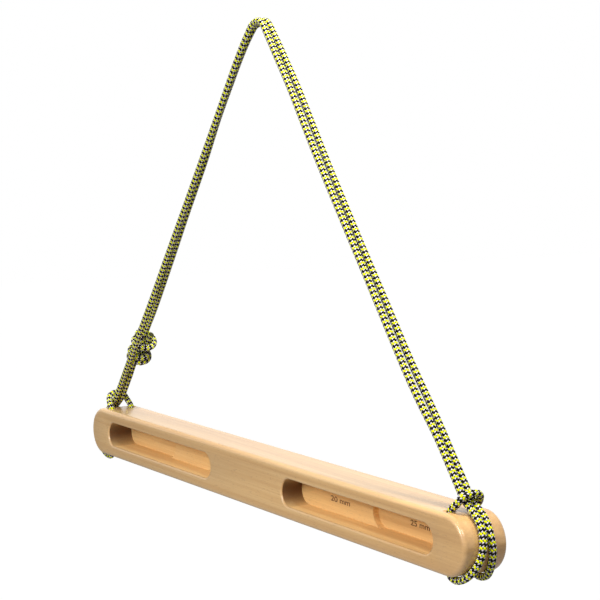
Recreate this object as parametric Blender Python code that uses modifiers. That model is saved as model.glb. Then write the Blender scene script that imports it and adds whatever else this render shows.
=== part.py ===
"""Portable hangboard: a beech bar with stepped finger pockets, hung in a doubled cord sling.

The bar lies along X, its pockets open towards -Y, and Z points up.
The origin is the point where the sling rests on its hook.
All sizes are in metres; the cord's routes are lists in millimetres, scaled by MM.
"""
import math

import bmesh
import bpy
import numpy as np

MM = 0.001

# Bar
BAR_LENGTH = 0.600
BAR_HEIGHT = 0.044
BAR_THICKNESS = 0.038
EDGE_ROUND = 0.0035
HANG_DROP = 0.373

# Finger pockets: one long slot on each side of the centre, with a floor in two depths
CENTRE_BRIDGE = 0.118
POCKET_HEIGHT = 0.0224
SHALLOW_DEPTH = 0.020
DEEP_DEPTH = 0.025
DEEP_LENGTH = 0.1024
POCKET_END_WALL = 0.0050

# Cord, and the two upright holes near each end of the bar that it runs through
CORD_DIAMETER = 0.0055
STRAND_GAP = 0.0005
CORD_CLEARANCE = 0.0003
HOLE_INSET = 0.0280
HOLE_APART = 0.0208
HOLE_OVER_CORD = 0.0020
HOLE_CHAMFER = 0.0012
HOOK_BEND_RADIUS = 0.012

# Knot on the rear strand of the left leg
KNOT_FROM_HITCH = 0.0535
KNOT_SET_BACK = 0.0083
KNOT_SET_OUT = 0.0052
KNOT_TURNED_DEGREES = 323
KNOT_PITCH = 0.0060
KNOT_CORE_RADIUS = 0.0035

# Mesh fineness
ARC_STEPS = 24
HOLE_STEPS = 32
EDGE_SEGMENTS = 4
CORD_SIDES_RESOLUTION = 2
LEG_SPACING = 0.0135
LOOP_SPACING = 0.0030
TURN_SPACING = 0.0030
FINE_STEP = 0.0005
END_STUB = 0.0006
CUT_MARGIN = 0.010

# Sizes that follow from the ones above
CORD_RADIUS = CORD_DIAMETER / 2
STRAND_Y = (CORD_DIAMETER + STRAND_GAP) / 2
HOLE_RADIUS = (CORD_DIAMETER + HOLE_OVER_CORD) / 2
BAR_Z = -HANG_DROP
BAR_TOP = BAR_HEIGHT / 2
END_CENTRE_X = BAR_LENGTH / 2 - BAR_HEIGHT / 2
HOLE_X = BAR_LENGTH / 2 - HOLE_INSET
HOLE_Y = HOLE_APART / 2
WRAP_RADIUS = BAR_HEIGHT / 2 + CORD_CLEARANCE + CORD_RADIUS
POCKET_INNER_X = CENTRE_BRIDGE / 2
POCKET_OUTER_X = HOLE_X - HOLE_RADIUS - POCKET_END_WALL
STEP_X = POCKET_OUTER_X - DEEP_LENGTH
FRONT_Y = -BAR_THICKNESS / 2

FRONT = -1
BACK = 1
RIGHT = 1
LEFT = -1


# Scene and materials

def clear_scene():
    for item in list(bpy.data.objects):
        bpy.data.objects.remove(item, do_unlink=True)


def new_collection(name):
    group = bpy.data.collections.new(name)
    bpy.context.scene.collection.children.link(group)
    return group


def new_material(name, colour, roughness):
    """A plain Principled material."""
    material = bpy.data.materials.new(name)
    material.use_nodes = True
    shader = material.node_tree.nodes["Principled BSDF"]
    shader.inputs["Base Color"].default_value = (*colour, 1.0)
    shader.inputs["Roughness"].default_value = roughness
    shader.inputs["Metallic"].default_value = 0.0
    return material


clear_scene()
PARTS = new_collection("portable_hangboard")
CUTTERS = new_collection("cutters")
BEECH = new_material("beech", (0.72, 0.50, 0.30), 0.55)
BRAID = new_material("braided_cord", (0.42, 0.47, 0.10), 0.75)


def mesh_from_curve(curve_object, name, group):
    """Turn a curve object into a mesh object at the same place, with its caps welded on."""
    group.objects.link(curve_object)
    bpy.context.view_layer.update()
    graph = bpy.context.evaluated_depsgraph_get()
    mesh = bpy.data.meshes.new_from_object(curve_object.evaluated_get(graph))
    shape = bmesh.new()
    shape.from_mesh(mesh)
    bmesh.ops.remove_doubles(shape, verts=shape.verts, dist=0.00001)
    bmesh.ops.recalc_face_normals(shape, faces=shape.faces)
    shape.to_mesh(mesh)
    shape.free()
    solid = bpy.data.objects.new(name, mesh)
    solid.matrix_world = curve_object.matrix_world.copy()
    group.objects.link(solid)
    bpy.data.objects.remove(curve_object, do_unlink=True)
    return solid


def flat_solid(name, outline, thickness, centre_y, group):
    """A solid of one thickness along Y, from an outline of (x, z) points about the bar's centre."""
    curve = bpy.data.curves.new(name + "_outline", "CURVE")
    curve.dimensions = "2D"
    curve.fill_mode = "BOTH"
    curve.extrude = thickness / 2
    spline = curve.splines.new("POLY")
    spline.points.add(len(outline) - 1)
    for point, (x, z) in zip(spline.points, outline):
        point.co = (x, z, 0.0, 1.0)
    spline.use_cyclic_u = True
    solid = mesh_from_curve(bpy.data.objects.new(name + "_outline", curve), name, group)
    # A quarter turn about X, made on the vertices so that walls shared by two cutters stay exactly flush
    for vertex in solid.data.vertices:
        x, z, depth = vertex.co
        vertex.co = (x, centre_y - depth, z)
    solid.location = (0.0, 0.0, BAR_Z)
    return solid


def arc_points(centre_x, centre_z, radius, start_degrees, end_degrees, steps):
    """Points on an arc in the XZ plane, both ends included."""
    points = []
    for step in range(steps + 1):
        angle = math.radians(start_degrees + (end_degrees - start_degrees) * step / steps)
        points.append((centre_x + radius * math.cos(angle), centre_z + radius * math.sin(angle)))
    return points


def slot_outline(left_x, right_x, height):
    """A slot with full round ends."""
    radius = height / 2
    right_end = arc_points(right_x - radius, 0.0, radius, -90, 90, ARC_STEPS)
    left_end = arc_points(left_x + radius, 0.0, radius, 90, 270, ARC_STEPS)
    return right_end + left_end


def as_cutter(cutter):
    cutter.hide_render = True
    cutter.display_type = "WIRE"
    return cutter


def cut(target, cutter):
    """Subtract a cutter from a target with a Boolean modifier."""
    boolean = target.modifiers.new("cut_" + cutter.name, "BOOLEAN")
    boolean.operation = "DIFFERENCE"
    boolean.solver = "EXACT"
    boolean.object = as_cutter(cutter)


# Bar

def pocket_cutter(name, side, inner_x, start_depth, depth):
    """A slot-shaped cutter from one depth behind the front face down to another."""
    left_x = min(side * inner_x, side * POCKET_OUTER_X)
    right_x = max(side * inner_x, side * POCKET_OUTER_X)
    centre_y = FRONT_Y + (start_depth + depth) / 2
    outline = slot_outline(left_x, right_x, POCKET_HEIGHT)
    return flat_solid(name, outline, depth - start_depth, centre_y, CUTTERS)


def hole_cutter(name, end, side):
    """A turned cutter for one cord hole, with a chamfer at both mouths."""
    radius = HOLE_RADIUS
    mouth = radius + HOLE_CHAMFER + CUT_MARGIN
    above = BAR_TOP + CUT_MARGIN
    shoulder = BAR_TOP - HOLE_CHAMFER
    profile = [(0.0, above), (mouth, above), (radius, shoulder), (radius, -shoulder), (mouth, -above), (0.0, -above)]
    mesh = bpy.data.meshes.new(name)
    edges = [(index, index + 1) for index in range(len(profile) - 1)]
    mesh.from_pydata([(x, 0.0, z) for x, z in profile], edges, [])
    cutter = bpy.data.objects.new(name, mesh)
    CUTTERS.objects.link(cutter)
    cutter.location = (end * HOLE_X, side * HOLE_Y, BAR_Z)
    screw = cutter.modifiers.new("turn", "SCREW")
    screw.steps = HOLE_STEPS
    screw.render_steps = HOLE_STEPS
    screw.use_merge_vertices = True
    screw.merge_threshold = 0.00001
    return cutter


def build_bar():
    bar = flat_solid("bar", slot_outline(-BAR_LENGTH / 2, BAR_LENGTH / 2, BAR_HEIGHT), BAR_THICKNESS, 0.0, PARTS)
    bevel = bar.modifiers.new("rounded_edges", "BEVEL")
    bevel.width = EDGE_ROUND
    bevel.segments = EDGE_SEGMENTS
    bevel.limit_method = "ANGLE"
    bevel.angle_limit = math.radians(40)
    for side, word in ((RIGHT, "right"), (LEFT, "left")):
        cut(bar, pocket_cutter("pocket_shallow_" + word, side, POCKET_INNER_X, -CUT_MARGIN, SHALLOW_DEPTH))
        cut(bar, pocket_cutter("pocket_deep_" + word, side, STEP_X, SHALLOW_DEPTH / 2, DEEP_DEPTH))
        cut(bar, hole_cutter("front_hole_" + word, side, FRONT))
        cut(bar, hole_cutter("back_hole_" + word, side, BACK))
    bar.data.materials.append(BEECH)
    return bar


# Cord routes: smooth curves through points chosen by hand

def smooth_path(points):
    """A fine row of points on the natural cubic spline through the given ones."""
    nodes = np.array(points, dtype=float)
    chords = np.linalg.norm(np.diff(nodes, axis=0), axis=1)
    knots = np.concatenate([[0.0], np.cumsum(chords)])
    count = len(nodes)
    matrix = np.zeros((count, count))
    right_side = np.zeros((count, 3))
    matrix[0, 0] = 1.0
    matrix[-1, -1] = 1.0
    for index in range(1, count - 1):
        before = chords[index - 1]
        after = chords[index]
        matrix[index, index - 1] = before
        matrix[index, index] = 2 * (before + after)
        matrix[index, index + 1] = after
        slope_after = (nodes[index + 1] - nodes[index]) / after
        slope_before = (nodes[index] - nodes[index - 1]) / before
        right_side[index] = 6 * (slope_after - slope_before)
    bends = np.linalg.solve(matrix, right_side)
    fine = []
    for index in range(count - 1):
        chord = chords[index]
        steps = max(2, int(math.ceil(chord / FINE_STEP)))
        for step in range(steps):
            ahead = chord * step / steps
            left = chord - ahead
            value = bends[index] * left ** 3 / (6 * chord) + bends[index + 1] * ahead ** 3 / (6 * chord)
            value += (nodes[index] / chord - bends[index] * chord / 6) * left
            value += (nodes[index + 1] / chord - bends[index + 1] * chord / 6) * ahead
            fine.append(value)
    fine.append(nodes[-1])
    return np.array(fine)


def distances(path):
    """The distance along a path to each of its points."""
    return np.concatenate([[0.0], np.cumsum(np.linalg.norm(np.diff(path, axis=0), axis=1))])


def place_on(path, point):
    """The distance along a path to the point of it nearest to a given one."""
    nearest = np.argmin(np.linalg.norm(path - np.array(point), axis=1))
    return distances(path)[nearest]


def stretch(path, start, end, spacing):
    """The stretch of a path between two distances, as evenly spaced points.

    A point just inside each end keeps the end faces square to the path.
    """
    along = distances(path)
    count = max(2, int(round((end - start) / spacing)) + 1)
    wanted = np.linspace(start, end, count)
    wanted = np.concatenate([wanted[:1], [start + END_STUB], wanted[1:-1], [end - END_STUB], wanted[-1:]])
    return np.stack([np.interp(wanted, along, path[:, axis]) for axis in range(3)], axis=1)


def placed(points, end, side):
    """Points of the right back quarter, moved to another end of the bar or side of the sling."""
    return [np.array(point) * np.array([end, side, 1.0]) for point in points]


# The leg line: the cord leaves its bend over the hook and runs straight to the hitch.
# Heights on it are measured from the bar's centre, for the right end.
HITCH_ENTRY_X = END_CENTRE_X - 5.5 * MM
HITCH_ENTRY_Z = WRAP_RADIUS + 12.95 * MM
HOOK_BEND_CENTRE_Z = HANG_DROP + CORD_RADIUS - HOOK_BEND_RADIUS


def leg_start():
    """Where the leg line touches the hook bend's circle: (x, z) about the bar's centre."""
    rise = HITCH_ENTRY_Z - HOOK_BEND_CENTRE_Z
    distance = math.hypot(HITCH_ENTRY_X, rise)
    angle = math.atan2(rise, HITCH_ENTRY_X) + math.acos(HOOK_BEND_RADIUS / distance)
    return (HOOK_BEND_RADIUS * math.cos(angle), HOOK_BEND_CENTRE_Z + HOOK_BEND_RADIUS * math.sin(angle))


LEG_TOP_X, LEG_TOP_Z = leg_start()
LEG_RUN = math.hypot(HITCH_ENTRY_X - LEG_TOP_X, HITCH_ENTRY_Z - LEG_TOP_Z)
LEG_UP = np.array([LEG_TOP_X - HITCH_ENTRY_X, 0.0, LEG_TOP_Z - HITCH_ENTRY_Z]) / LEG_RUN
LEG_OUT = np.array([LEG_UP[2], 0.0, -LEG_UP[0]])


def leg_point(up, away=0.0, out=0.0):
    """A point near the right leg's line, in millimetres up it from the hitch.

    away is added to its distance from the sling's middle plane, and out moves it out of the triangle.
    """
    foot = np.array([HITCH_ENTRY_X, STRAND_Y + away * MM, HITCH_ENTRY_Z + BAR_Z])
    return foot + LEG_UP * (up * MM) + LEG_OUT * (out * MM)


# Legs, as (up, away, out) in millimetres. The strands aren't quite straight or side by side:
# the right pair sags inwards, and the left pair bulges outwards and parts round the knot.
RIGHT_LEG = (
    (390, 0.5, 0.8), (365, 0.6, 1.1), (335, 0.7, 0.2), (300, 0.7, -1.2), (250, 0.6, -2.1), (200, 0.5, -2.5),
    (150, 0.7, -2.7), (110, 0.8, -3.0), (85, 1.0, -2.5), (62, 0.8, -1.2), (42, 0.2, -0.1), (18, 0.0, 0.0),
)
LEFT_LEG_FRONT = (
    (390, 0.0, 3.6), (360, 0.0, 3.2), (320, 0.0, 2.3), (280, 0.0, 1.7), (240, 0.0, 1.2), (200, 0.0, 1.0),
    (160, 0.0, 0.6), (125, 0.5, -0.6), (95, 1.7, -2.2), (62, 2.4, -3.2), (38, 1.7, -2.3), (20, 0.4, -0.5),
    (10, 0.0, 0.0),
)
LEFT_LEG_BACK_UPPER = (
    (390, -1.5, 7.3), (360, -1.5, 7.5), (325, -1.4, 7.1), (290, -0.8, 5.4), (250, -0.5, 4.3), (215, -0.4, 3.4),
    (177, 0.0, 2.2), (145, 0.7, 2.0), (118, 2.6, 3.9), (98, 4.4, 6.3),
)
LEFT_LEG_BACK_LOWER = ((9, 0.0, 0.0), (15, 0.3, 0.5), (22, 0.9, 1.5))

# How far the hook bend's points move (away, out) to meet those legs, in millimetres
RIGHT_BEND_SHIFT = ((0.0, 0.0), (0.0, 0.0), (0.0, 0.0), (0.0, 0.1), (0.1, 0.2), (0.3, 0.5))
LEFT_FRONT_BEND_SHIFT = ((0.0, 0.0), (0.0, 0.3), (0.0, 0.8), (0.0, 1.4), (0.0, 2.1), (0.0, 2.9))
LEFT_BACK_BEND_SHIFT = ((0.0, 0.2), (0.0, 0.9), (-0.2, 2.0), (-0.5, 3.4), (-0.9, 5.1), (-1.2, 6.3))
HOOK_TOP = (0.0, STRAND_Y, CORD_RADIUS)


def bend_points(shifts):
    """From just past the hook's top down to the leg's first stretch."""
    points = []
    for degrees in (75, 60, 48):
        angle = math.radians(degrees)
        z = HOOK_BEND_CENTRE_Z + HOOK_BEND_RADIUS * math.sin(angle)
        points.append(np.array([HOOK_BEND_RADIUS * math.cos(angle), STRAND_Y, z + BAR_Z]))
    points.append(np.array([LEG_TOP_X, STRAND_Y, LEG_TOP_Z + BAR_Z]))
    points.append(leg_point(LEG_RUN / MM - 6))
    points.append(leg_point(LEG_RUN / MM - 16))
    moved = []
    for point, (away, out) in zip(points, shifts):
        moved.append(point + LEG_OUT * (out * MM) + np.array([0.0, away * MM, 0.0]))
    return moved


# Hitch, in millimetres. Under the bight: (x from the leg line's foot, z above the bar's centre)
UNDER_BIGHT = ((0.0, 38.0), (5.2, 31.7), (11.7, 26.5))
# Round the bar's end: (degrees, distance from the sling's middle plane)
FRONT_WRAP = ((45, 3.1), (25, 3.9), (5, 5.1), (-15, 6.7), (-33, 8.9), (-52, 10.6), (-70, 10.8))
BACK_WRAP = ((45, 2.9), (25, 2.3), (5, 2.8), (-15, 3.6), (-35, 4.9), (-55, 7.2), (-72, 9.6))
# Under the bar and up into the hole: (x out from the hole, z above the wrap's lowest point)
INTO_HOLE = ((5.3, 0.0), (1.6, 1.6), (0.0, 5.3))
# Inside the hole: z above the bar's centre
IN_HOLE = (-8.0, 8.0)
# The bight: (x out from the hole, y away from the hole, z above the bar's top)
BIGHT = (
    (0.2, 0.0, -3.4), (1.2, 0.0, 0.4), (4.9, -0.3, 4.1), (8.0, -1.1, 7.1), (10.4, -2.6, 10.6), (12.0, -6.1, 12.9),
)
BIGHT_TIP = (HOLE_X + 12.7 * MM, 0.0, BAR_Z + BAR_TOP + 13.6 * MM)


def wrap_point(degrees, away):
    angle = math.radians(degrees)
    x = END_CENTRE_X + WRAP_RADIUS * math.cos(angle)
    return np.array([x, away * MM, BAR_Z + WRAP_RADIUS * math.sin(angle)])


def hole_point(z):
    return np.array([HOLE_X, HOLE_Y, BAR_Z + z * MM])


def hitch_points(wrap):
    """From the leg's foot under the bight, round the bar's end, up its hole and along half the bight."""
    points = [np.array([HITCH_ENTRY_X + x * MM, STRAND_Y, BAR_Z + z * MM]) for x, z in UNDER_BIGHT]
    points += [wrap_point(degrees, away) for degrees, away in wrap]
    points += [np.array([HOLE_X + x * MM, HOLE_Y, BAR_Z - WRAP_RADIUS + z * MM]) for x, z in INTO_HOLE]
    points += [hole_point(z) for z in IN_HOLE]
    points += [np.array([HOLE_X + x * MM, HOLE_Y + y * MM, BAR_Z + BAR_TOP + z * MM]) for x, y, z in BIGHT]
    return points


# Knot: each cord end passes along the other, turns back round both and leaves beside them.
# Key points are (distance out from the knot's middle, angle, radius), in millimetres and degrees.
LEAD_ANGLE = 210
OTHER_ANGLE = 330
LEAD_IN = (-22.0, -15.0, -8.0, 0.0)
TURN_BACK = ((8.0, 210, 3.5), (11.6, 225, 4.05), (13.3, 244, 5.95), (13.05, 274, 8.25))
TURNS_START = (11.6, 320)
TURNS_END_ANGLE = 740
TURN_STEP = 30
TURN_RADIUS = 9.5
TUCK_IN = ((3.25, 773, 8.8), (2.6, 795, 6.2), (3.8, 809, 4.8), (7.5, 815, 3.6))
TAIL_OUT = ((10.5, 811, 3.6), (16.0, 810, 3.8), (20.5, 808, 4.3))
# Where each leg's rear strand ends and the knot's own stretch begins
KNOT_SPLIT = -18.0


def knot_place(outward, degrees, radius, half):
    """A point in the knot. half is -1 for the lower half and 1 for the upper, its half-turned twin."""
    up, out = placed([LEG_UP, LEG_OUT], LEFT, BACK)
    back = np.array([0.0, 1.0, 0.0])
    middle = placed([leg_point(KNOT_FROM_HITCH / MM, -STRAND_Y / MM)], LEFT, BACK)[0]
    middle = middle + out * KNOT_SET_OUT + back * KNOT_SET_BACK
    if half > 0:
        degrees = LEAD_ANGLE + OTHER_ANGLE - degrees
    angle = math.radians(KNOT_TURNED_DEGREES + degrees)
    offset = back * math.sin(angle) - out * math.cos(angle)
    return middle + up * (half * outward * MM) + offset * (radius * MM)


def knot_points(half):
    """A cord end: in from its leg, through the knot, turned back round both cords, and out."""
    points = [knot_place(outward, LEAD_ANGLE, KNOT_CORE_RADIUS / MM, half) for outward in LEAD_IN]
    points += [knot_place(*key, half) for key in TURN_BACK]
    start_out, start_degrees = TURNS_START
    for degrees in range(start_degrees, TURNS_END_ANGLE + 1, TURN_STEP):
        outward = start_out - (degrees - start_degrees) / 360 * KNOT_PITCH / MM
        points.append(knot_place(outward, degrees, TURN_RADIUS, half))
    return points + [knot_place(*key, half) for key in TUCK_IN + TAIL_OUT]


def leg_points(places, end, side):
    return placed([leg_point(*place) for place in places], end, side)


def hitch(end):
    """One end's hitch, from the rear leg's foot to the front leg's."""
    there = placed(hitch_points(BACK_WRAP), end, BACK)
    back_again = placed(hitch_points(FRONT_WRAP), end, FRONT)[::-1]
    return there + placed([BIGHT_TIP], end, BACK) + back_again


def cord_points():
    """The whole cord in one piece, from the lower tail of the knot round to the upper one."""
    points = knot_points(-1)[::-1]
    points += leg_points(LEFT_LEG_BACK_UPPER, LEFT, BACK)[::-1]
    points += placed(bend_points(LEFT_BACK_BEND_SHIFT), LEFT, BACK)[::-1]
    points += placed([HOOK_TOP], RIGHT, BACK)
    points += placed(bend_points(RIGHT_BEND_SHIFT), RIGHT, BACK)
    points += leg_points(RIGHT_LEG, RIGHT, BACK)
    points += hitch(RIGHT)
    points += leg_points(RIGHT_LEG, RIGHT, FRONT)[::-1]
    points += placed(bend_points(RIGHT_BEND_SHIFT), RIGHT, FRONT)[::-1]
    points += placed([HOOK_TOP], RIGHT, FRONT)
    points += placed(bend_points(LEFT_FRONT_BEND_SHIFT), LEFT, FRONT)
    points += leg_points(LEFT_LEG_FRONT, LEFT, FRONT)
    points += hitch(LEFT)[::-1]
    points += leg_points(LEFT_LEG_BACK_LOWER, LEFT, BACK)
    return points + knot_points(1)


# The cord's nodes, in order along it. The leg ends on the axis about which the bar rolls.
FOOT_UP_LEG = 8.0


def node_starts():
    """Each node of the cord with a point near the place on the cord at which it starts."""
    leg_top = bend_points(((0.0, 0.0),) * 6)[3]
    leg_foot = leg_point(FOOT_UP_LEG)
    hole = hole_point(IN_HOLE[1])
    back_lead_end = wrap_point(*BACK_WRAP[0])
    front_lead_end = wrap_point(*FRONT_WRAP[0])
    starts = [
        ("knot_lower_turns", knot_points(-1)[-1]),
        ("leg_left_back_upper", knot_place(KNOT_SPLIT, LEAD_ANGLE, KNOT_CORE_RADIUS / MM, -1)),
        ("hook_bend_back", placed([leg_top], LEFT, BACK)[0]),
        ("leg_right_back", placed([leg_top], RIGHT, BACK)[0]),
        ("hitch_right_lead_back", placed([leg_foot], RIGHT, BACK)[0]),
        ("hitch_right_wrap_back", placed([back_lead_end], RIGHT, BACK)[0]),
        ("hitch_right_bight", placed([hole], RIGHT, BACK)[0]),
        ("hitch_right_wrap_front", placed([hole], RIGHT, FRONT)[0]),
        ("hitch_right_lead_front", placed([front_lead_end], RIGHT, FRONT)[0]),
        ("leg_right_front", placed([leg_foot], RIGHT, FRONT)[0]),
        ("hook_bend_front", placed([leg_top], RIGHT, FRONT)[0]),
        ("leg_left_front", placed([leg_top], LEFT, FRONT)[0]),
        ("hitch_left_lead_front", placed([leg_foot], LEFT, FRONT)[0]),
        ("hitch_left_wrap_front", placed([front_lead_end], LEFT, FRONT)[0]),
        ("hitch_left_bight", placed([hole], LEFT, FRONT)[0]),
        ("hitch_left_wrap_back", placed([hole], LEFT, BACK)[0]),
        ("hitch_left_lead_back", placed([back_lead_end], LEFT, BACK)[0]),
        ("leg_left_back_lower", placed([leg_foot], LEFT, BACK)[0]),
        ("knot_upper_turns", knot_place(KNOT_SPLIT, LEAD_ANGLE, KNOT_CORE_RADIUS / MM, 1)),
    ]
    return starts


def ring_spacing(name):
    """How far apart a node's rings are: wide on the legs, close in the knot."""
    if name.startswith("leg"):
        return LEG_SPACING
    return TURN_SPACING if name.startswith("knot") else LOOP_SPACING


def tube(name, points, material):
    """A cord stretch: a round tube with filled ends through evenly spaced points."""
    curve = bpy.data.curves.new(name, "CURVE")
    curve.dimensions = "3D"
    curve.bevel_depth = CORD_RADIUS
    curve.bevel_resolution = CORD_SIDES_RESOLUTION
    curve.use_fill_caps = True
    spline = curve.splines.new("POLY")
    spline.points.add(len(points) - 1)
    for target, point in zip(spline.points, points):
        target.co = (*point, 1.0)
    curve.materials.append(material)
    strand = bpy.data.objects.new(name, curve)
    PARTS.objects.link(strand)
    return strand


def least_gap(path):
    """The least distance from one tube surface to itself, between turns that aren't neighbours."""
    points = stretch(path, 0.0, distances(path)[-1], 0.001)
    along = distances(points)
    least = 1.0
    for index in range(len(points)):
        apart = along - along[index] > 2.2 * CORD_DIAMETER
        if apart.any():
            least = min(least, np.linalg.norm(points[apart] - points[index], axis=1).min())
    return least - CORD_DIAMETER


def build_cord():
    """One long path, cut into its nodes with a clearance between them."""
    path = smooth_path(cord_points())
    starts = node_starts()
    places = [place_on(path, point) for _, point in starts]
    trim = CORD_CLEARANCE / 2
    for (name, _), start, end in zip(starts, places, places[1:] + [distances(path)[-1]]):
        tube(name, stretch(path, start + trim, end - trim, ring_spacing(name)), BRAID)
        print(name, round((end - start) / MM, 1), "mm")
    print("cord", round(distances(path)[-1] / MM, 1), "mm, least gap to itself", round(least_gap(path) / MM, 2), "mm")


def main():
    build_bar()
    build_cord()
    for item in PARTS.objects:
        if item.type == "MESH":
            item.data.shade_smooth()
            item.data.set_sharp_from_angle(angle=math.radians(35))


main()
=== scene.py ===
# %% [markdown]
# # A portable hangboard in Blender
# This lesson dresses a small climbing board: a beech bar with finger slots in its front,
# hung in a sling of braided cord that is hitched through both of its ends.
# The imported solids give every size, and each step swaps some of them for a piece that looks
# like the real thing.

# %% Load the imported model
import math

import bmesh
import bpy
import numpy as np
from mathutils import Matrix, Vector


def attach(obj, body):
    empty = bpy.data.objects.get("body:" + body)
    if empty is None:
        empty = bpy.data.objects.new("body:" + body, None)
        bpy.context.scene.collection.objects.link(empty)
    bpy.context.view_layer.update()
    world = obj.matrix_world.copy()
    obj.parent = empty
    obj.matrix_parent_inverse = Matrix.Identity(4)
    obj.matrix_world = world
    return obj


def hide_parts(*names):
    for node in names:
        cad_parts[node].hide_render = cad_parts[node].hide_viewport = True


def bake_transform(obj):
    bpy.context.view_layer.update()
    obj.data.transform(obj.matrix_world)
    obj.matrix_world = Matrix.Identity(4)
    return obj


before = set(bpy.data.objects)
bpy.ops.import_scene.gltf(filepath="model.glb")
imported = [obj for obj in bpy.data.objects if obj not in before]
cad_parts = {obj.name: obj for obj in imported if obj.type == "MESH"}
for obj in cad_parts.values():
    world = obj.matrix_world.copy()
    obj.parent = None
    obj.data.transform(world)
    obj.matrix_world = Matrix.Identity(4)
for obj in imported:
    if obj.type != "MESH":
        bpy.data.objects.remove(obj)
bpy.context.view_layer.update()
scene = bpy.context.scene

# %% [markdown]
# ## Sizes
# The part's sizes are written once and everything is built from them, in metres.
# The origin is the place where the sling rests on its hook, so the bar hangs below zero.
# The slots' places follow from the holes', because solid wood has to stay between the two.

# %% Sizes of the bar
BAR_LENGTH = 0.6
BAR_HEIGHT = 0.044
BAR_THICKNESS = 0.038
EDGE_ROUND = 0.0035
HANG_DROP = 0.373
BAR_Z = -HANG_DROP
BAR_TOP = BAR_HEIGHT / 2
FRONT_Y = -BAR_THICKNESS / 2
END_CENTRE_X = BAR_LENGTH / 2 - BAR_HEIGHT / 2
print("the bar hangs", HANG_DROP, "m below the hook")

# %% Sizes of the cord and its holes
MM = 0.001
CORD_DIAMETER = 0.0055
CORD_RADIUS = CORD_DIAMETER / 2
STRAND_GAP = 0.0005
CORD_CLEARANCE = 0.0003
STRAND_Y = (CORD_DIAMETER + STRAND_GAP) / 2
HOLE_PLAY = 0.002
HOLE_FROM_END = 0.028
HOLE_SPACING = 0.0208
HOLE_CHAMFER = 0.0012
HOLE_RADIUS = (CORD_DIAMETER + HOLE_PLAY) / 2
HOLE_X = BAR_LENGTH / 2 - HOLE_FROM_END
HOLE_Y = HOLE_SPACING / 2
WRAP_RADIUS = BAR_HEIGHT / 2 + CORD_CLEARANCE + CORD_RADIUS
HOOK_BEND_RADIUS = 0.012
print("cord", CORD_DIAMETER / MM, "mm in holes of", round(2 * HOLE_RADIUS / MM, 2), "mm")

# %% Sizes of the finger slots
POCKET_HEIGHT = 0.0224
POCKET_INNER_X = 0.059
WOOD_TO_HOLE = 0.005
POCKET_OUTER_X = HOLE_X - HOLE_RADIUS - WOOD_TO_HOLE
SHALLOW_DEPTH = 0.020
DEEP_DEPTH = 0.025
DEEP_LENGTH = 0.1024
STEP_X = POCKET_OUTER_X - DEEP_LENGTH
print("slots from", POCKET_INNER_X, "to", round(POCKET_OUTER_X, 4), "m, step at", round(STEP_X, 4))

# %% [markdown]
# ## The camera
# The photograph is taken from the bar's right end, a little above it, with a long lens.
# A camera is only a place, three directions and a focal length, so it is written that way.
# The place was found by lining up the bar's outline, slots and floors with the picture.

# %% Camera
PHOTO_WIDTH = 600
FOCAL_PIXELS = 1667.9
SENSOR_WIDTH = 36.0
CAMERA_PLACE = Vector((1.185, -0.694, 0.2729 + BAR_Z))
CAMERA_YAW = math.radians(58.356)
CAMERA_PITCH = math.radians(-5.218)
CAMERA_ROLL = math.radians(-0.237)

forward = Vector((
    -math.sin(CAMERA_YAW) * math.cos(CAMERA_PITCH),
    math.cos(CAMERA_YAW) * math.cos(CAMERA_PITCH),
    math.sin(CAMERA_PITCH),
))
level_right = forward.cross(Vector((0, 0, 1))).normalized()
level_up = level_right.cross(forward)
camera_right = level_right * math.cos(CAMERA_ROLL) + level_up * math.sin(CAMERA_ROLL)
camera_up = level_up * math.cos(CAMERA_ROLL) - level_right * math.sin(CAMERA_ROLL)

camera_data = bpy.data.cameras.new("photo_camera")
camera_data.sensor_width = SENSOR_WIDTH
camera_data.lens = FOCAL_PIXELS / PHOTO_WIDTH * SENSOR_WIDTH
camera_data.clip_start = 0.01
camera_data.clip_end = 50.0
camera = bpy.data.objects.new("photo_camera", camera_data)
scene.collection.objects.link(camera)
turn = Matrix((camera_right, camera_up, -forward)).transposed()
camera.matrix_world = Matrix.Translation(CAMERA_PLACE) @ turn.to_4x4()
scene.camera = camera
print("camera lens:", round(camera_data.lens, 1), "mm")

# %% [markdown]
# ## The cord's route
# The sling is one cord with its two ends tied together. A cord takes smooth bends, so its
# line is a cubic spline through listed points: over the hook, down a leg,
# under its own bight, round the bar's end, up through one of two holes and over itself again.
# The points are those of the solids, so the dressed cord lies where they lie.

# %% A smooth curve through points
FINE_STEP = 0.0005


def smooth_path(points):
    """A fine row of points on the natural cubic spline through the given ones."""
    nodes = np.array(points, dtype=float)
    chords = np.linalg.norm(np.diff(nodes, axis=0), axis=1)
    slopes = np.diff(nodes, axis=0) / chords[:, None]
    count = len(nodes)
    matrix = np.eye(count)
    right_side = np.zeros((count, 3))
    for index in range(1, count - 1):
        before, after = chords[index - 1], chords[index]
        matrix[index, index - 1:index + 2] = before, 2 * (before + after), after
        right_side[index] = 6 * (slopes[index] - slopes[index - 1])
    bends = np.linalg.solve(matrix, right_side)
    pieces = []
    for index, chord in enumerate(chords):
        steps = max(2, math.ceil(chord / FINE_STEP))
        ahead = np.linspace(0.0, chord, steps, endpoint=False)[:, None]
        left = chord - ahead
        value = (bends[index] * left ** 3 + bends[index + 1] * ahead ** 3) / (6 * chord)
        value += (nodes[index] / chord - bends[index] * chord / 6) * left
        value += (nodes[index + 1] / chord - bends[index + 1] * chord / 6) * ahead
        pieces.append(value)
    return np.concatenate(pieces + [nodes[-1:]])


def distances(path):
    """The distance along a path to each of its points."""
    return np.concatenate([[0.0], np.cumsum(np.linalg.norm(np.diff(path, axis=0), axis=1))])


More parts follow.
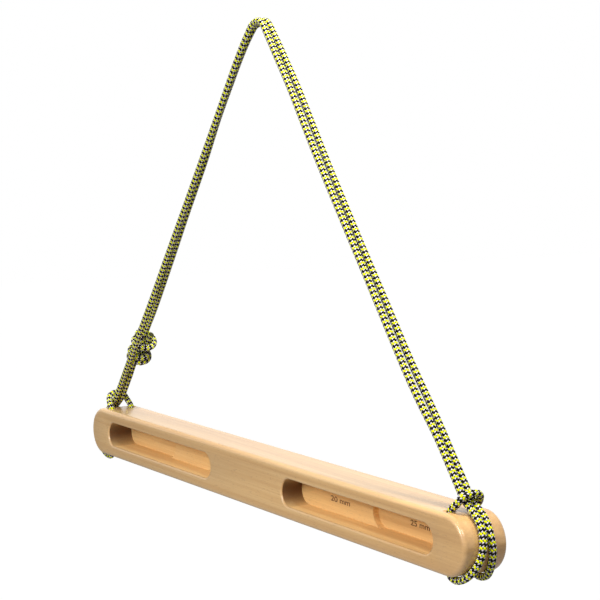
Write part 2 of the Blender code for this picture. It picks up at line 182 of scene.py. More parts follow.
# %% [markdown]
# ## The two legs
# From the hook to the bar the cord hangs almost straight, because the bar's weight pulls it
# taut. One straight line from the hook bend to the hitch is worked out first. The points
# of a leg are then given as small distances off that line, so they are easy to adjust.

# %% Ends and sides
FRONT, BACK = -1, 1
RIGHT, LEFT = 1, -1


def placed(points, end, side):
    """Points of the right back quarter, moved to an end of the bar and a side of the sling."""
    return [np.array(point) * np.array([end, side, 1.0]) for point in points]


# %% The leg's line, from the bend over the hook to the hitch
# Heights on it are measured from the bar's centre, for the right end.
HITCH_ENTRY_X = END_CENTRE_X - 5.5 * MM
HITCH_ENTRY_Z = WRAP_RADIUS + 12.95 * MM
HOOK_BEND_CENTRE_Z = HANG_DROP + CORD_RADIUS - HOOK_BEND_RADIUS


def leg_start():
    """Where the leg line touches the hook bend's circle: (x, z) about the bar's centre."""
    rise = HITCH_ENTRY_Z - HOOK_BEND_CENTRE_Z
    distance = math.hypot(HITCH_ENTRY_X, rise)
    angle = math.atan2(rise, HITCH_ENTRY_X) + math.acos(HOOK_BEND_RADIUS / distance)
    x = HOOK_BEND_RADIUS * math.cos(angle)
    return x, HOOK_BEND_CENTRE_Z + HOOK_BEND_RADIUS * math.sin(angle)


LEG_TOP_X, LEG_TOP_Z = leg_start()
LEG_RUN = math.hypot(HITCH_ENTRY_X - LEG_TOP_X, HITCH_ENTRY_Z - LEG_TOP_Z)
LEG_UP = np.array([LEG_TOP_X - HITCH_ENTRY_X, 0.0, LEG_TOP_Z - HITCH_ENTRY_Z]) / LEG_RUN
LEG_OUT = np.array([LEG_UP[2], 0.0, -LEG_UP[0]])
print("a leg is", round(LEG_RUN, 4), "m long")


def leg_point(up, away=0.0, out=0.0):
    """A point near the right leg's line, in millimetres up it from the hitch.

    away adds to its distance from the sling's middle plane, and out moves it out of the
    triangle that the sling and the bar make.
    """
    foot = np.array([HITCH_ENTRY_X, STRAND_Y + away * MM, HITCH_ENTRY_Z + BAR_Z])
    return foot + LEG_UP * (up * MM) + LEG_OUT * (out * MM)


# %% Points on the legs
# Each is (up, away, out) in millimetres. The strands aren't quite straight or side by side:
# the right pair sags inwards, and the left pair bulges outwards and parts round the knot.
RIGHT_LEG = (
    (390, 0.5, 0.8), (365, 0.6, 1.1), (335, 0.7, 0.2), (300, 0.7, -1.2),
    (250, 0.6, -2.1), (200, 0.5, -2.5), (150, 0.7, -2.7), (110, 0.8, -3.0),
    (85, 1.0, -2.5), (62, 0.8, -1.2), (42, 0.2, -0.1), (18, 0, 0),
)
LEFT_LEG_FRONT = (
    (390, 0, 3.6), (360, 0, 3.2), (320, 0, 2.3), (280, 0, 1.7),
    (240, 0, 1.2), (200, 0, 1.0), (160, 0, 0.6), (125, 0.5, -0.6),
    (95, 1.7, -2.2), (62, 2.4, -3.2), (38, 1.7, -2.3), (20, 0.4, -0.5), (10, 0, 0),
)
LEFT_LEG_BACK_UPPER = (
    (390, -1.5, 7.3), (360, -1.5, 7.5), (325, -1.4, 7.1), (290, -0.8, 5.4),
    (250, -0.5, 4.3), (215, -0.4, 3.4), (177, 0, 2.2), (145, 0.7, 2.0),
    (118, 2.6, 3.9), (98, 4.4, 6.3),
)
LEFT_LEG_BACK_LOWER = ((9, 0, 0), (15, 0.3, 0.5), (22, 0.9, 1.5))


def leg_points(places, end, side):
    return placed([leg_point(*place) for place in places], end, side)


# %% The bend over the hook
# First round the hook, in degrees, and then down the leg's line, in millimetres.
HOOK_BEND_DEGREES = (75, 60, 48)
BELOW_LEG_TOP = (6, 16)
HOOK_TOP = (0.0, STRAND_Y, CORD_RADIUS)
# How far the bend's points move (away, out) to meet the legs, in millimetres
RIGHT_BEND_SHIFT = ((0, 0), (0, 0), (0, 0), (0, 0.1), (0.1, 0.2), (0.3, 0.5))
LEFT_FRONT_BEND_SHIFT = ((0, 0), (0, 0.3), (0, 0.8), (0, 1.4), (0, 2.1), (0, 2.9))
LEFT_BACK_BEND_SHIFT = ((0, 0.2), (0, 0.9), (-0.2, 2.0), (-0.5, 3.4), (-0.9, 5.1), (-1.2, 6.3))


def bend_points(shifts, end, side):
    """From just past the hook's top down to the leg's first stretch."""
    points = []
    for degrees in HOOK_BEND_DEGREES:
        angle = math.radians(degrees)
        z = HOOK_BEND_CENTRE_Z + HOOK_BEND_RADIUS * math.sin(angle)
        points.append(np.array([HOOK_BEND_RADIUS * math.cos(angle), STRAND_Y, z + BAR_Z]))
    points.append(np.array([LEG_TOP_X, STRAND_Y, LEG_TOP_Z + BAR_Z]))
    points += [leg_point(LEG_RUN / MM - below) for below in BELOW_LEG_TOP]
    moved = []
    for point, (away, out) in zip(points, shifts):
        moved.append(point + LEG_OUT * (out * MM) + np.array([0.0, away * MM, 0.0]))
    return placed(moved, end, side)


# %% [markdown]
# ## The hitches
# At each end of the bar both strands pass under a loop of the cord, its bight. They run
# round the bar's end and under it, come up through the two holes, and meet again in that
# bight. The bar's weight pulls the bight shut, so the board can't slip. The points are
# written for one strand at the right end and mirrored to the other places.

# %% Under the bight, round the end, up the hole and over
# Under the bight, in millimetres: (x from the leg line's foot, z above the bar's centre)
UNDER_BIGHT = ((0, 38.0), (5.2, 31.7), (11.7, 26.5))
# Round the bar's end: (degrees, millimetres from the sling's middle plane)
FRONT_WRAP = ((45, 3.1), (25, 3.9), (5, 5.1), (-15, 6.7), (-33, 8.9), (-52, 10.6), (-70, 10.8))
BACK_WRAP = ((45, 2.9), (25, 2.3), (5, 2.8), (-15, 3.6), (-35, 4.9), (-55, 7.2), (-72, 9.6))
# Under the bar and up into the hole: (x out from the hole, z above the wrap's lowest point)
INTO_HOLE = ((5.3, 0), (1.6, 1.6), (0, 5.3))
# Inside the hole: z above the bar's centre
IN_HOLE = (-8.0, 8.0)
# The bight: (x out from the hole, y away from the hole, z above the bar's top)
BIGHT = (
    (0.2, 0, -3.4), (1.2, 0, 0.4), (4.9, -0.3, 4.1),
    (8.0, -1.1, 7.1), (10.4, -2.6, 10.6), (12.0, -6.1, 12.9),
)
BIGHT_TIP = (HOLE_X + 12.7 * MM, 0.0, BAR_Z + BAR_TOP + 13.6 * MM)


def wrap_point(degrees, away):
    angle = math.radians(degrees)
    x = END_CENTRE_X + WRAP_RADIUS * math.cos(angle)
    return np.array([x, away * MM, BAR_Z + WRAP_RADIUS * math.sin(angle)])


def strand_points(wrap):
    """One strand, from the leg's foot round the bar's end, up its hole and into the bight."""
    lowest_z, top_z = BAR_Z - WRAP_RADIUS, BAR_Z + BAR_TOP
    points = [(HITCH_ENTRY_X + x * MM, STRAND_Y, BAR_Z + z * MM) for x, z in UNDER_BIGHT]
    points += [wrap_point(degrees, away) for degrees, away in wrap]
    points += [(HOLE_X + x * MM, HOLE_Y, lowest_z + z * MM) for x, z in INTO_HOLE]
    points += [(HOLE_X, HOLE_Y, BAR_Z + z * MM) for z in IN_HOLE]
    points += [(HOLE_X + x * MM, HOLE_Y + y * MM, top_z + z * MM) for x, y, z in BIGHT]
    return points


def hitch(end):
    """One end's hitch, from the rear leg's foot to the front leg's."""
    there = placed(strand_points(BACK_WRAP), end, BACK)
    back_again = placed(strand_points(FRONT_WRAP), end, FRONT)[::-1]
    return there + placed([BIGHT_TIP], end, BACK) + back_again


print("each hitch has", len(hitch(RIGHT)), "points")

# %% [markdown]
# ## The knot
# The cord's ends are joined by a double fisherman's knot on the left leg. Each end runs
# along the other cord, turns back, winds twice round both and leaves through its own turns.
# The two halves are the same shape, half turned, so one list of key points makes both.
# A key point is a distance out from the knot's middle, an angle round it and a radius.

# %% The knot's two cords
KNOT_FROM_HITCH = 53.5 * MM
KNOT_SET_BACK = 8.3 * MM
KNOT_SET_OUT = 5.2 * MM
KNOT_TURNED_DEGREES = 323
LEAD_ANGLE = 210
OTHER_ANGLE = 330
# In millimetres and degrees: (out, angle, radius)
LEAD_IN = [(outward, LEAD_ANGLE, 3.5) for outward in (-22.0, -15.0, -8.0, 0.0)]
TURN_BACK = ((8.0, 210, 3.5), (11.6, 225, 4.05), (13.3, 244, 5.95), (13.05, 274, 8.25))
TUCK_IN = ((3.25, 773, 8.8), (2.6, 795, 6.2), (3.8, 809, 4.8), (7.5, 815, 3.6))
TAIL_OUT = ((10.5, 811, 3.6), (16.0, 810, 3.8), (20.5, 808, 4.3))
TURNS_START_OUT = 11.6
TURNS_START_ANGLE = 320
TURNS_END_ANGLE = 740
TURN_STEP = 30
TURN_RADIUS = 9.5
TURN_PITCH = 6.0
LOWER, UPPER = -1, 1


def knot_place(half, outward, degrees, radius):
    """A key point of one half of the knot; the upper half is the lower one, half turned."""
    up, out = placed([LEG_UP, LEG_OUT], LEFT, BACK)
    back = np.array([0.0, 1.0, 0.0])
    middle = placed([leg_point(KNOT_FROM_HITCH / MM, -STRAND_Y / MM)], LEFT, BACK)[0]
    middle = middle + out * KNOT_SET_OUT + back * KNOT_SET_BACK
    if half == UPPER:
        degrees = LEAD_ANGLE + OTHER_ANGLE - degrees
    angle = math.radians(KNOT_TURNED_DEGREES + degrees)
    offset = back * math.sin(angle) - out * math.cos(angle)
    return middle + up * (half * outward * MM) + offset * (radius * MM)


def knot_points(half):
    """A cord end: in from its leg, through the knot, back round both cords, and out."""
    turns = []
    for degrees in range(TURNS_START_ANGLE, TURNS_END_ANGLE + 1, TURN_STEP):
        outward = TURNS_START_OUT - (degrees - TURNS_START_ANGLE) / 360 * TURN_PITCH
        turns.append((outward, degrees, TURN_RADIUS))
    keys = [*LEAD_IN, *TURN_BACK, *turns, *TUCK_IN, *TAIL_OUT]
    return [knot_place(half, *key) for key in keys]


# %% [markdown]
# ## One unbroken line
# The curve runs from one tail of the knot to the other and gets evenly spaced rings. Doing
# this once for the whole cord keeps its braid in step past every place where the dressed
# cord has to be split, so no split shows.

# %% The whole cord's points
def cord_points():
    """The whole cord's points, from the knot's lower tail round to its upper one."""
    points = knot_points(LOWER)[::-1]
    points += leg_points(LEFT_LEG_BACK_UPPER, LEFT, BACK)[::-1]
    points += bend_points(LEFT_BACK_BEND_SHIFT, LEFT, BACK)[::-1]
    points += placed([HOOK_TOP], RIGHT, BACK)
    points += bend_points(RIGHT_BEND_SHIFT, RIGHT, BACK)
    points += leg_points(RIGHT_LEG, RIGHT, BACK)
    points += hitch(RIGHT)
    points += leg_points(RIGHT_LEG, RIGHT, FRONT)[::-1]
    points += bend_points(RIGHT_BEND_SHIFT, RIGHT, FRONT)[::-1]
    points += placed([HOOK_TOP], RIGHT, FRONT)
    points += bend_points(LEFT_FRONT_BEND_SHIFT, LEFT, FRONT)
    points += leg_points(LEFT_LEG_FRONT, LEFT, FRONT)
    points += hitch(LEFT)[::-1]
    points += leg_points(LEFT_LEG_BACK_LOWER, LEFT, BACK)
    return points + knot_points(UPPER)


# %% Space the cord's rings
RING_STEP = 0.00045
SOFTEN_RINGS = 2


def evenly(path, spacing):
    """The same path with evenly spaced points."""
    along = distances(path)
    wanted = np.linspace(0.0, along[-1], int(round(along[-1] / spacing)) + 1)
    return np.stack([np.interp(wanted, along, path[:, axis]) for axis in range(3)], axis=1)


def softened(path, width):
    """A moving average that takes out small kinks."""
    padded = np.concatenate([np.repeat(path[:1], width, 0), path, np.repeat(path[-1:], width, 0)])
    window = np.ones(2 * width + 1) / (2 * width + 1)
    smooth = np.stack([np.convolve(padded[:, axis], window, "valid") for axis in range(3)], axis=1)
    smooth[:width], smooth[-width:] = path[:width], path[-width:]
    return smooth


rough_cord = evenly(smooth_path(cord_points()), RING_STEP)
whole_cord = evenly(softened(rough_cord, SOFTEN_RINGS), RING_STEP)
cord_along = distances(whole_cord)
print("the whole cord is", round(cord_along[-1], 3), "m long, with", len(whole_cord), "rings")

# %% [markdown]
# ## The braid's shape
# The sheath is a round braid. Half of its yarn bundles climb to the right and half to the
# left, and each passes over one and under the next, so the surface is a lattice of small
# diamond stitches. Two numbers place any point in the lattice: the turns round the cord and
# the distance along it. The same two numbers raise the stitches here and colour them later.

# %% Stitch height on the cord's surface
STITCHES_ROUND = 6
BRAID_REPEAT = 0.0047
# How wide a white stitch shows, as a share of its lattice cell: the bright yarns bulge over it
WHITE_WIDTH = 0.62
# How much lower a stitch is at its tips than at its middle, as a share of its height
STITCH_DROOP = 0.55


def stitch_height(turns, repeats):
    """0 in the valleys between stitches and 1 on the crown of a stitch."""
    climb = 2 * repeats + STITCHES_ROUND * turns
    fall = 2 * repeats - STITCHES_ROUND * turns
    climb_cell, fall_cell = np.floor(climb + 0.5), np.floor(fall + 0.5)
    climb_off, fall_off = np.abs(climb - climb_cell) * 2, np.abs(fall - fall_cell) * 2
    odd = np.mod(climb_cell + fall_cell, 2) > 0.5
    white = odd & (fall_off < WHITE_WIDTH)
    across = np.where(white, fall_off / WHITE_WIDTH, climb_off)
    along_bright = np.where(odd, 2 - fall_off, fall_off) / (2 - WHITE_WIDTH)
    length = np.where(white, climb_off, along_bright)
    return (1 - across ** 2) * (1 - STITCH_DROOP * length ** 3)


print("a stitch is", round(BRAID_REPEAT / 2 / MM, 2), "mm long")

# %% Carry a cross direction along the cord without twist
tangents = np.gradient(whole_cord, axis=0)
tangents /= np.linalg.norm(tangents, axis=1)[:, None]
cross_a = np.zeros_like(whole_cord)
cross_a[0] = np.cross(tangents[0], (0.0, 0.0, 1.0))
for index in range(1, len(whole_cord)):
    before = cross_a[index - 1]
    carried = before - tangents[index] * np.dot(before, tangents[index])
    cross_a[index] = carried / np.linalg.norm(carried)
cross_a[0] /= np.linalg.norm(cross_a[0])
cross_b = np.cross(tangents, cross_a)
print("cross directions carried to", len(cross_a), "rings")

# %% [markdown]
# ## Building the cord
# A braided cord could be a plain tube with a bump, but its outline shows each stitch. So
# the tube's own points are raised by the stitch height. A UV map stores the two numbers of
# the lattice for the colours. The knot's tails were melted so that they don't fray: there
# the stitches fade out and the tube narrows.

# %% The tube's points, faces and map
CORD_SIDES = 36


def ring_vertices(rings, radius):
    """The tube's points: one ring of them round each point of the cord's line."""
    angle = 2 * math.pi * np.arange(CORD_SIDES) / CORD_SIDES
    offset = cross_a[rings][:, None, :] * np.cos(angle)[:, None]
    offset = offset + cross_b[rings][:, None, :] * np.sin(angle)[:, None]
    return whole_cord[rings][:, None, :] + offset * radius[..., None]


def tube_faces(ring_count):
    """Squares between the rings, and a cap at each end."""
    sides = np.arange(CORD_SIDES)
    first_corner = np.arange(ring_count - 1)[:, None] * CORD_SIDES
    here, beside = first_corner + sides, first_corner + np.roll(sides, -1)
    quads = np.stack([here, beside, beside + CORD_SIDES, here + CORD_SIDES], axis=-1)
    last_ring = (ring_count - 1) * CORD_SIDES
    caps = [list(range(CORD_SIDES - 1, -1, -1)), list(range(last_ring, last_ring + CORD_SIDES))]
    return quads.reshape(-1, 4).tolist() + caps


def braid_map(repeats):
    """(turns, repeats) at every corner of the faces, in their order."""
    sides = np.arange(CORD_SIDES)
    turns = (sides[None, :, None] + np.array([0, 1, 1, 0])) / CORD_SIDES
    turns = np.broadcast_to(turns, (len(repeats) - 1, CORD_SIDES, 4))
    low, high = repeats[:-1, :, None], repeats[1:, :, None]
    along = np.broadcast_to(np.concatenate([low, low, high, high], axis=2), turns.shape)
    quads = np.stack([turns, along], axis=-1).reshape(-1, 2)
    start = np.stack([sides[::-1] / CORD_SIDES, np.full(CORD_SIDES, repeats[0, 0])], axis=-1)
    end = np.stack([sides / CORD_SIDES, np.full(CORD_SIDES, repeats[-1, 0])], axis=-1)
    return np.concatenate([quads, start, end])


# %% Build a stretch of cord
STITCH_RELIEF = 0.00034
# The share of the relief that lies inside the cord's radius
RELIEF_INSIDE = 0.72
MELTED_LENGTH = 0.0022
MELTED_NARROWING = 0.45


def cord_stretch(name, first, last):
    """A braided tube on rings first to last of the whole cord, with its braid as a UV map."""
    rings = np.arange(first, last + 1)
    turns = np.arange(CORD_SIDES)[None, :] / CORD_SIDES
    repeats = cord_along[rings][:, None] / BRAID_REPEAT
    to_end = np.minimum(cord_along[rings], cord_along[-1] - cord_along[rings])[:, None]
    melted = np.clip(1 - to_end / MELTED_LENGTH, 0, 1)
    raised = stitch_height(turns, repeats) - RELIEF_INSIDE
    radius = CORD_RADIUS + STITCH_RELIEF * raised * (1 - melted)
    radius = radius * (1 - MELTED_NARROWING * melted ** 3)
    mesh = bpy.data.meshes.new(name)
    vertices = ring_vertices(rings, radius).reshape(-1, 3).tolist()
    mesh.from_pydata(vertices, [], tube_faces(len(rings)))
    uv_layer = mesh.uv_layers.new(name="braid")
    uv_layer.data.foreach_set("uv", braid_map(repeats).astype(np.float32).ravel())
    melt_layer = mesh.attributes.new("melted", "FLOAT", "POINT")
    melt_values = np.broadcast_to(melted, radius.shape).astype(np.float32)
    melt_layer.data.foreach_set("value", melt_values.ravel())
    mesh.shade_smooth()
    mesh.update()
    piece = bpy.data.objects.new(name, mesh)
    scene.collection.objects.link(piece)
    length = cord_along[last] - cord_along[first]
    print(name, "is", round(length, 3), "m long, with", len(mesh.polygons), "faces")
    return piece


# %% [markdown]
# ## Where the cord is split
# The sling bends in two places when the board moves: at the hook, and just above the bar.
# A mesh can bend across one joint only, so the cord is made in four stretches that meet
# end to end on the legs, between the two bends.

# %% Make the four stretches
SPLIT_Z = -0.2985


def split_ring(end, side, after):
    """The ring where the cord crosses the split height on one leg, later than a given ring."""
    count = len(whole_cord)
    on_leg = (np.sign(whole_cord[:, 0]) == end) & (np.sign(whole_cord[:, 1]) == side)
    crossing = np.zeros(count, bool)
    crossing[1:] = (whole_cord[1:, 2] - SPLIT_Z) * (whole_cord[:-1, 2] - SPLIT_Z) <= 0
    return int(np.nonzero(on_leg & crossing & (np.arange(count) > after))[0][0])


last_ring = len(whole_cord) - 1
hook_back_ring = int(np.argmin(np.linalg.norm(whole_cord - HOOK_TOP, axis=1)))
right_back_ring = split_ring(RIGHT, BACK, hook_back_ring)
right_front_ring = split_ring(RIGHT, FRONT, right_back_ring)
left_front_ring = split_ring(LEFT, FRONT, right_front_ring)
rear_sling = cord_stretch("sling_rear_with_knot", 0, right_back_ring)
right_hitch = cord_stretch("hitch_right_cord", right_back_ring, right_front_ring)
front_sling = cord_stretch("sling_front", right_front_ring, left_front_ring)
left_hitch = cord_stretch("hitch_left_cord_with_knot", left_front_ring, last_ring)

# %% [markdown]
# ## Writing shaders as sums
# A material is a graph of nodes, which is slow to read and write. One small class wraps a
# socket so that plain Python sums add the Math nodes, and one method makes every other node.

# %% Sockets that take sums
class Socket:
    """A value in a graph. A sum on it adds a Math node."""

    def __init__(self, graph, link):
        self.graph = graph
        self.link = link

    def math(self, operation, *others):
        return self.graph.node("ShaderNodeMath", {"operation": operation}, [self, *others])

    def clamped(self):
        settings = {"operation": "ADD", "use_clamp": True}
        return self.graph.node("ShaderNodeMath", settings, [self, 0.0])

    def __add__(self, other):
        return self.math("ADD", other)

    def __sub__(self, other):
        return self.math("SUBTRACT", other)

    def __rsub__(self, other):
        return self.graph.node("ShaderNodeMath", {"operation": "SUBTRACT"}, [other, self])

    def __mul__(self, other):
        return self.math("MULTIPLY", other)

    def __truediv__(self, other):
        return self.math("DIVIDE", other)

    def __lt__(self, other):
        return self.math("LESS_THAN", other)

    def __gt__(self, other):
        return self.math("GREATER_THAN", other)

    __radd__ = __add__
    __rmul__ = __mul__


# %% A tree of nodes
class Graph:
    """A tree of nodes and the few calls that build it."""

    def __init__(self, tree):
        self.tree = tree

    def node(self, kind, settings=None, values=(), output=0):
        """Add a node: its settings are made first, then its sockets get values or links."""
        made = self.tree.nodes.new(kind)
        for key, value in (settings or {}).items():
            if key == "stops":
                ramp = made.color_ramp
                while len(ramp.elements) < len(value):
                    ramp.elements.new(0.5)
                for element, (position, colour) in zip(ramp.elements, value):
                    element.position = position
                    element.color = (*colour, 1.0)
            else:
                setattr(made, key, value)
        items = values.items() if isinstance(values, dict) else enumerate(values)
        for key, value in items:
            self.put(made.inputs[key], value)
        return Socket(self, made.outputs[output])

    def put(self, socket, value):
        if isinstance(value, Socket):
            self.tree.links.new(value.link, socket)
        elif isinstance(value, tuple) and len(value) == 3 and socket.type == "RGBA":
            socket.default_value = (*value, 1.0)
        else:
            socket.default_value = value

    def axis(self, vector, index):
        """One of a vector's three numbers."""
        return self.node("ShaderNodeSeparateXYZ", None, [vector], index)

    def noise(self, vector, scale, detail, roughness=0.5):
        values = {"Vector": vector, "Scale": scale, "Detail": detail, "Roughness": roughness}
        return self.node("ShaderNodeTexNoise", None, values)

    def mix(self, factor, first, second, blend="MIX"):
        """Blend two colours: sockets 0, 6 and 7 of a colour Mix are its factor and colours."""
        settings = {"data_type": "RGBA", "blend_type": blend}
        return self.node("ShaderNodeMix", settings, {0: factor, 6: first, 7: second}, 2)

    def bump(self, height, strength, distance):
        values = {"Strength": strength, "Distance": distance, "Height": height}
        return self.node("ShaderNodeBump", None, values)


# %% A material's nodes
class Finish(Graph):
    """A material's graph, round its Principled shader."""

    def __init__(self, name):
        self.material = bpy.data.materials.new(name)
        self.material.use_nodes = True
        super().__init__(self.material.node_tree)
        self.shader = self.tree.nodes["Principled BSDF"]

    def surface(self, **values):
        """Set the shader's own sockets; an underscore in a key stands for a space."""
        for key, value in values.items():
            self.put(self.shader.inputs[key.replace("_", " ")], value)

    def object_place(self):
        return self.node("ShaderNodeTexCoord", None, (), "Object")

    def done(self):
        print(self.material.name, "has", len(self.tree.nodes), "nodes")
        return self.material


# %% [markdown]
# ## The cord's finish
# The braid is black, pale lilac-white and neon yellow. Every second ring of stitches round
# the cord is white, and the rings between are yellow and black by turns. A picture could
# colour them, but sums on the cord's UV map stay sharp and match the raised stitches. Each
# stitch is a bundle of fine yarns, which a bump shows; shade is painted into the valleys.

# %% Yarn colours
YELLOW_YARN = (0.94, 0.96, 0.004)
YELLOW_FUZZ = (0.80, 0.86, 0.005)
WHITE_YARN = (0.74, 0.69, 0.72)
WHITE_FUZZ = (0.58, 0.52, 0.56)
BLACK_YARN = (0.004, 0.004, 0.005)
# Painted shade: the colour for the valleys between stitches
PAINTED_VALLEY_SHADE = (0.006, 0.005, 0.004)
MELTED_YARN = (0.05, 0.05, 0.02)

# %% Cord material
FUZZ_SCALE = 1400.0
YARN_WAVES = 2.5
YARN_RELIEF = 0.1
FUZZ_RELIEF = 0.1
# How sharply and how far the painted valley shade darkens the stitches' edges, and how strongly
VALLEY_SHADE_EDGE = 2.5
VALLEY_SHADE_OFFSET = 0.68
VALLEY_SHADE_SHARE = 0.96
MELT_EDGE = 1.6


def make_cord_finish():
    finish = Finish("braided_cord_finish")
    place = finish.node("ShaderNodeUVMap", {"uv_map": "braid"})
    turns, repeats = finish.axis(place, 0), finish.axis(place, 1)
    climb = repeats * 2.0 + turns * STITCHES_ROUND
    fall = repeats * 2.0 - turns * STITCHES_ROUND
    climb_cell, fall_cell = (climb + 0.5).math("FLOOR"), (fall + 0.5).math("FLOOR")
    climb_off = (climb - climb_cell).math("ABSOLUTE") * 2.0
    fall_off = (fall - fall_cell).math("ABSOLUTE") * 2.0
    cell = climb_cell + fall_cell
    is_odd = cell.math("FLOORED_MODULO", 2.0) > 0.5
    is_white = is_odd * (fall_off < WHITE_WIDTH)
    # Past the edge of a white stitch, the stitch beyond it shows
    spill = (is_odd - is_white) * (fall - fall_cell).math("SIGN")
    is_black = ((cell + spill).math("FLOORED_MODULO", 4.0) - 2.0).math("ABSOLUTE") < 0.5
    along_bright = is_odd * (2.0 - fall_off) + (1 - is_odd) * fall_off
    across = is_white * (fall_off / WHITE_WIDTH) + (1 - is_white) * climb_off
    length = is_white * climb_off + (1 - is_white) * (along_bright / (2 - WHITE_WIDTH))
    height = (1 - across * across) * (1 - length * length * length * STITCH_DROOP)
    fuzz = finish.noise(finish.object_place(), FUZZ_SCALE, detail=2.0)
    bright = finish.mix(fuzz, YELLOW_YARN, YELLOW_FUZZ)
    colour = finish.mix(is_black, bright, BLACK_YARN)
    colour = finish.mix(is_white, colour, finish.mix(fuzz, WHITE_YARN, WHITE_FUZZ))
    # Painted shade: where a stitch falls away into its valley, its colour is darkened towards black
    crown = (height * VALLEY_SHADE_EDGE - VALLEY_SHADE_OFFSET).clamped()
    colour = finish.mix((1 - crown) * VALLEY_SHADE_SHARE, colour, PAINTED_VALLEY_SHADE)
    melted = finish.node("ShaderNodeAttribute", {"attribute_name": "melted"}, (), "Fac")
    colour = finish.mix((melted * MELT_EDGE).clamped(), colour, MELTED_YARN)
    yarn_lines = (across * (YARN_WAVES * math.pi)).math("SINE")
    relief = height + yarn_lines * YARN_RELIEF + fuzz * FUZZ_RELIEF
    finish.surface(Base_Color=colour, Roughness=0.8, Specular_IOR_Level=0.12)
    finish.surface(Normal=finish.bump(relief, strength=0.55, distance=0.00025))
    return finish.done()


cord_material = make_cord_finish()

# %% [markdown]
# ## Tying the cord to the model
# Each stretch takes the place of the solids that it stands for, which are hidden, and gets
# the cord's finish.

# %% The solids that each stretch stands for
REAR_NODES = ("hook_bend_back", "leg_right_back", "leg_left_back_upper", "knot_lower_turns")
RIGHT_NODES = (
    "hitch_right_lead_front", "hitch_right_lead_back",
    "hitch_right_wrap_front", "hitch_right_wrap_back", "hitch_right_bight",
)
FRONT_NODES = ("hook_bend_front", "leg_right_front", "leg_left_front")
LEFT_NODES = (
    "hitch_left_lead_front", "hitch_left_lead_back", "hitch_left_wrap_front",
    "hitch_left_wrap_back", "hitch_left_bight", "leg_left_back_lower", "knot_upper_turns",
)


def dress_cord(piece, nodes):
    """Give a stretch its finish, hide the solids that it stands for and bake its place."""
    piece.data.materials.append(cord_material)
    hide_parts(*nodes)
    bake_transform(piece)


dress_cord(rear_sling, REAR_NODES)
dress_cord(
    right_hitch, RIGHT_NODES,
)
dress_cord(
    front_sling, FRONT_NODES,
)
dress_cord(left_hitch, LEFT_NODES)

# %% [markdown]
# ## Modelling in edit mode
# The bar is milled from one piece of wood, so it is modelled the way it is made: a block is
# rounded, then cut. Faces and edges are picked by their place, as a person would.

# %% Edit-mode helpers
SHARP_DEGREES = 30
# Depths that are closer than this count as the same
LEVEL = 1e-5
MERGE_DISTANCE = 1e-6


def only(piece):
    """Make one object the only selected and active one."""
    bpy.ops.object.select_all(action="DESELECT")
    piece.select_set(True)
    bpy.context.view_layer.objects.active = piece


def open_edit(piece, kind="EDGE"):
    """Open a piece in edit mode with nothing picked."""
    only(piece)
    bpy.ops.object.mode_set(mode="EDIT")
    bpy.ops.mesh.select_mode(type=kind)
    bpy.ops.mesh.select_all(action="DESELECT")


def close_edit():
    bpy.ops.object.mode_set(mode="OBJECT")


def pick_edges(piece, wanted):
    """Pick the edges for which wanted(first end, second end, angle in degrees) is true."""
    shape = bmesh.from_edit_mesh(piece.data)
    count = 0
    for edge in shape.edges:
        angle = math.degrees(edge.calc_face_angle(0.0))
        chosen = bool(wanted(edge.verts[0].co, edge.verts[1].co, angle))
        edge.select_set(chosen)
        count += chosen
    shape.select_flush_mode()
    bmesh.update_edit_mesh(piece.data)
    return count


def pick_faces(piece, wanted):
    """Pick the faces for which wanted(middle, normal) is true."""
    shape = bmesh.from_edit_mesh(piece.data)
    for face in shape.faces:
        face.select_set(bool(wanted(face.calc_center_median(), face.normal)))
    bmesh.update_edit_mesh(piece.data)


def bevel_picked(width, segments, clamp):
    bpy.ops.mesh.bevel(
        offset=width, offset_type="OFFSET", segments=segments, affect="EDGES", clamp_overlap=clamp,
    )


def round_edges(piece, width, segments, wanted):
    """Round the edges that are picked out by their place."""
    open_edit(piece)
    count = pick_edges(piece, wanted)
    bevel_picked(width, segments, clamp=True)
    close_edit()
    print(piece.name, "rounded", count, "edges by", round(width / MM, 2), "mm")


# %% Blocks and cuts
def slot_block(name, left, right, half_height, front, back, segments):
    """A block with full round ends: its corners from front to back are rounded till they meet."""
    low, high = Vector((left, front, -half_height)), Vector((right, back, half_height))
    bpy.ops.mesh.primitive_cube_add(size=1.0, location=(low + high) / 2)
    piece = bpy.context.active_object
    piece.name = name
    piece.scale = high - low
    bpy.ops.object.transform_apply()
    open_edit(piece)
    pick_edges(piece, lambda a, b, angle: abs(a.y - b.y) > LEVEL)
    bevel_picked(half_height, segments, clamp=False)
    bpy.ops.mesh.select_all(action="SELECT")
    bpy.ops.mesh.remove_doubles(threshold=MERGE_DISTANCE)
    close_edit()
    return piece


def carve(piece, tool):
    """Cut a tool's shape out of a piece and throw the tool away."""
    only(piece)
    cut = piece.modifiers.new("carve", "BOOLEAN")
    cut.operation = "DIFFERENCE"
    cut.solver = "EXACT"
    cut.object = tool
    bpy.ops.object.modifier_apply(modifier=cut.name)
    bpy.data.objects.remove(tool, do_unlink=True)


# %% [markdown]
# ## The bar
# The blank has full round ends and a rounded edge all round, front and back. Two upright
# holes are drilled near each end, one for each strand of the cord, and their mouths are
# flared a little. The slots are milled from the front in two depths.

# %% The bar's blank
END_SEGMENTS = 28
EDGE_SEGMENTS = 6

bar = slot_block("beech_bar", -BAR_LENGTH / 2, BAR_LENGTH / 2, BAR_TOP, FRONT_Y, -FRONT_Y, END_SEGMENTS)
round_edges(
    bar, EDGE_ROUND, EDGE_SEGMENTS,
    lambda a, b, angle: abs(a.y - b.y) < LEVEL and angle > SHARP_DEGREES,
)

# %% The cord's holes
CUT_MARGIN = 0.01
HOLE_SIDES = 48


